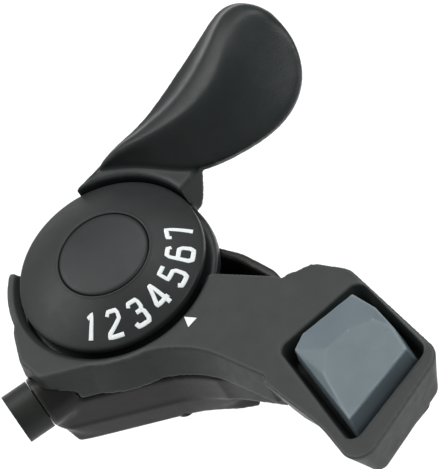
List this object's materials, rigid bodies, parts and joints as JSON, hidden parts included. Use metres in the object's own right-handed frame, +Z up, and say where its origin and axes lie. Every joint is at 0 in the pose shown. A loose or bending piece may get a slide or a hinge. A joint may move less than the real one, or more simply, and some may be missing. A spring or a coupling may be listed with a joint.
{
  "type": "thumb shifter",
  "caption": "Indexed thumb shifter for a bicycle: a paddle lever turns a numbered dial and cable pulley, and a grey button in a side pod releases it, over a handlebar clamp.",
  "frame": {"origin": "centre of the handlebar clamp's bore", "axes": "+X along the handlebar towards the grip, +Y forward away from the rider, +Z up, square to the dial and pointing at the rider's eye"},
  "size_m": [0.0863, 0.0974, 0.0683],
  "materials": {
    "cast_alloy": "black painted die casting, slightly orange-peeled",
    "bolt_steel": "zinc-plated steel, turned",
    "bronze": "sintered bronze, oiled",
    "dial_plastic": "fine satin texture, charcoal",
    "lever_plastic": "smooth satin black, polished by the thumb",
    "pulley_plastic": "natural acetal",
    "plate_steel": "stamped and hardened, oiled",
    "cover_plastic": "fine moulded grain, charcoal grey",
    "housing_plastic": "fine moulded grain, near black",
    "adjuster_plastic": "plain turned look, near black",
    "button_plastic": "satin blue-grey",
    "spring_steel": "oil-tempered wire"
  },
  "bodies": {
    "bracket": {"clamp_bracket": "cast_alloy", "clamp_bolt": "bolt_steel", "clamp_nut": "bolt_steel", "main_shaft": "bolt_steel", "thrust_washer": "bolt_steel", "dial_washer": "bolt_steel", "shaft_screw": "bolt_steel", "top_cover": "cover_plastic", "lower_housing": "housing_plastic", "pod_base": "housing_plastic", "case_screws": "bolt_steel", "pawl_pin": "bolt_steel", "pawl_spring": "spring_steel", "button_spring": "spring_steel", "return_spring": "spring_steel"},
    "lever": {"thumb_lever": "lever_plastic", "number_dial": "dial_plastic", "dial_cap": "dial_plastic", "cable_pulley": "pulley_plastic", "index_wheel": "plate_steel", "drive_pins": "bolt_steel", "shaft_bush": "bronze"},
    "button": {"release_button": "button_plastic", "stem_clip": "plate_steel"},
    "pawl": {"holding_pawl": "plate_steel"},
    "adjuster": {"adjuster_barrel": "adjuster_plastic"}
  },
  "joints": [
    {"name": "lever_turn", "type": "hinge", "parent": "bracket", "child": "lever", "pos_m": [-0.002, -0.003, 0.0293], "axis": [0, 0, 1], "range_deg": [-57.3, 57.3], "deforming": ["return_spring"]},
    {"name": "button_press", "type": "slide", "parent": "bracket", "child": "button", "axis": [0, 0, -1], "range_m": [0, 0.0025], "stiffness_N_per_m": 1500, "springref_m": -0.001, "deforming": ["button_spring"]},
    {"name": "pawl_swing", "type": "hinge", "parent": "bracket", "child": "pawl", "pos_m": [0.013, -0.0204, 0.0173], "axis": [0, 0, -1], "range_deg": [0, 3.4], "deforming": ["pawl_spring"]},
    {"name": "adjuster_turn", "type": "hinge", "parent": "bracket", "child": "adjuster", "pos_m": [-0.02497, -0.02465, 0.0198], "axis": [-0.9003, -0.4352, 0], "continuous": true}
  ],
  "couplings": [
    {"joint": "pawl_swing", "follows": "button_press", "rad_per_m": 23.499}
  ]
}
